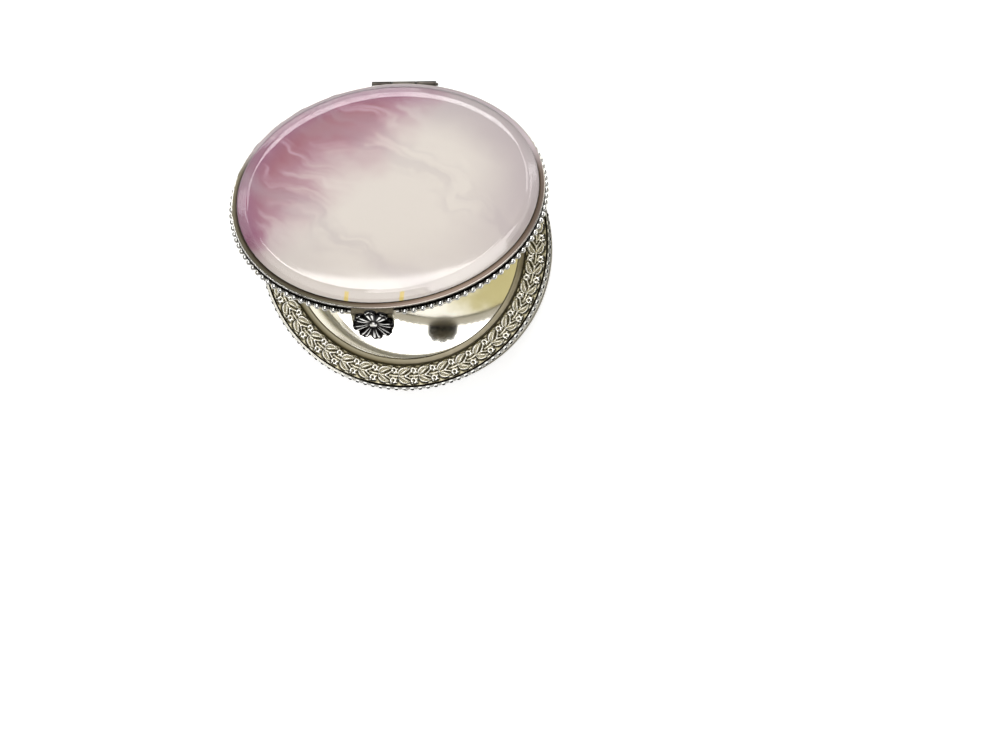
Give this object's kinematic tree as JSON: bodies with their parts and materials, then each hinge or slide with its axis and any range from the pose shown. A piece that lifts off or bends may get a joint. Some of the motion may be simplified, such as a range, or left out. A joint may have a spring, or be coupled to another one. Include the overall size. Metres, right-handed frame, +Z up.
{
  "type": "round hinged keepsake box",
  "caption": "Round metal keepsake box with a deep cup, a flat vine-patterned rim, beaded edges and a hinged lid under bevelled glass, held by a flower-shaped snap clasp.",
  "frame": {"origin": "centre of the flat base, on the surface that the box stands on", "axes": "+Z up, +Y towards the hinge, -Y towards the clasp, +X to the right seen from the clasp side"},
  "size_m": [0.0712, 0.0737, 0.0715],
  "materials": {
    "antique_silver": "silver-plated zinc alloy, aged in the recesses",
    "bright_silver": "polished silver plate",
    "polished_lining": "mirror-polished, warm tone",
    "blackened_silver": "polished, blackened between the petals",
    "hinge_steel": "dull dark grey",
    "printed_card": "pink and cream marbled print",
    "clear_glass": "clear, polished, bevelled"
  },
  "bodies": {
    "box_body": {"base_plate": "antique_silver", "outer_wall": "antique_silver", "vine_flange": "antique_silver", "inner_cup": "polished_lining", "rim_beading": "bright_silver", "hinge_leaf_body": "hinge_steel", "hinge_pin": "hinge_steel", "catch_stud": "bright_silver"},
    "lid": {"lid_frame": "antique_silver", "lid_beading": "bright_silver", "lid_liner": "polished_lining", "print_disc": "printed_card", "lid_glass": "clear_glass", "hinge_leaf_lid": "hinge_steel", "clasp_tongue": "antique_silver", "clasp_flower": "blackened_silver", "clasp_rivet": "bright_silver"}
  },
  "joints": [
    {"name": "lid_hinge", "type": "hinge", "parent": "box_body", "child": "lid", "pos_m": [0, 0.03765, 0.0217], "axis": [-1, 0, 0], "range_deg": [-39, 61]}
  ]
}
